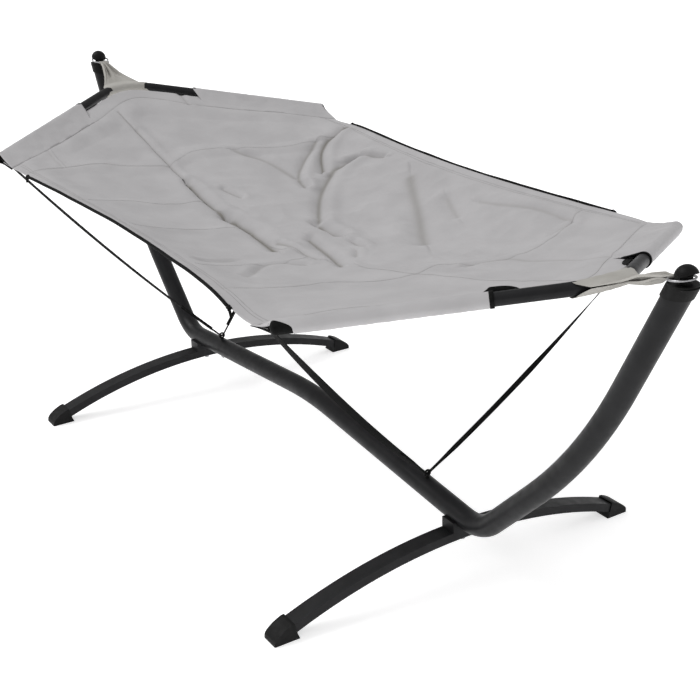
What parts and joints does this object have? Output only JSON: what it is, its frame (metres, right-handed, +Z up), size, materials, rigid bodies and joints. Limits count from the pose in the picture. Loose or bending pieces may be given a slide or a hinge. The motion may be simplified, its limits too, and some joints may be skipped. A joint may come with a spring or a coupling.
{
  "type": "hammock on stand",
  "caption": "Quilted hammock bed on bent spreader bows, hung by rings from a bent tube stand on arched cross legs, with stabiliser straps.",
  "frame": {"origin": "on the floor, under the middle of the hammock", "axes": "+X along the hammock to its front end, +Y across it to its right side, +Z up"},
  "size_m": [3.0522, 1.2188, 1.0802],
  "materials": {
    "frame_paint": "satin powder coat",
    "black_plastic": "fine moulded grain",
    "zinc_steel": "zinc plated",
    "black_steel": "black, satin",
    "bed_cloth": "light grey woven polyester, quilted",
    "sling_cloth": "grey woven polyester, gathered",
    "black_webbing": "flat woven webbing",
    "black_cord": "braided cord"
  },
  "bodies": {
    "stand": {"centre_tube": "frame_paint", "post_front": "frame_paint", "post_back": "frame_paint", "leg_front": "frame_paint", "leg_back": "frame_paint", "saddle_front": "frame_paint", "saddle_back": "frame_paint", "leg_bolts": "zinc_steel", "leg_washers": "zinc_steel", "leg_nuts": "zinc_steel", "foot_cap_front_left": "black_plastic", "foot_cap_front_right": "black_plastic", "foot_cap_back_left": "black_plastic", "foot_cap_back_right": "black_plastic", "hook_cap_front": "black_plastic", "hook_cap_back": "black_plastic", "eye_bolt_front": "black_steel", "eye_bolt_back": "black_steel", "eye_bolt_nuts": "zinc_steel"},
    "bed": {"spreader_front": "frame_paint", "spreader_back": "frame_paint", "end_plug_front_left": "black_plastic", "end_plug_front_right": "black_plastic", "end_plug_back_left": "black_plastic", "end_plug_back_right": "black_plastic", "bed_fabric": "bed_cloth", "pole_sleeve_front_left": "bed_cloth", "pole_sleeve_front_right": "bed_cloth", "pole_sleeve_back_left": "bed_cloth", "pole_sleeve_back_right": "bed_cloth", "corner_tab_front_left": "black_webbing", "corner_tab_front_right": "black_webbing", "corner_tab_back_left": "black_webbing", "corner_tab_back_right": "black_webbing", "side_cord_left": "black_cord", "side_cord_right": "black_cord", "sling_front": "sling_cloth", "sling_back": "sling_cloth", "ring_front": "zinc_steel", "ring_back": "zinc_steel", "strap_front_left": "black_webbing", "strap_front_right": "black_webbing", "strap_back_left": "black_webbing", "strap_back_right": "black_webbing"}
  },
  "joints": [
    {"name": "bed_swing", "type": "hinge", "parent": "stand", "child": "bed", "pos_m": [0, 0, 1.046], "axis": [1, 0, 0], "range_deg": [-5, 5], "deforming": ["strap_front_left", "strap_front_right", "strap_back_left", "strap_back_right"]}
  ]
}
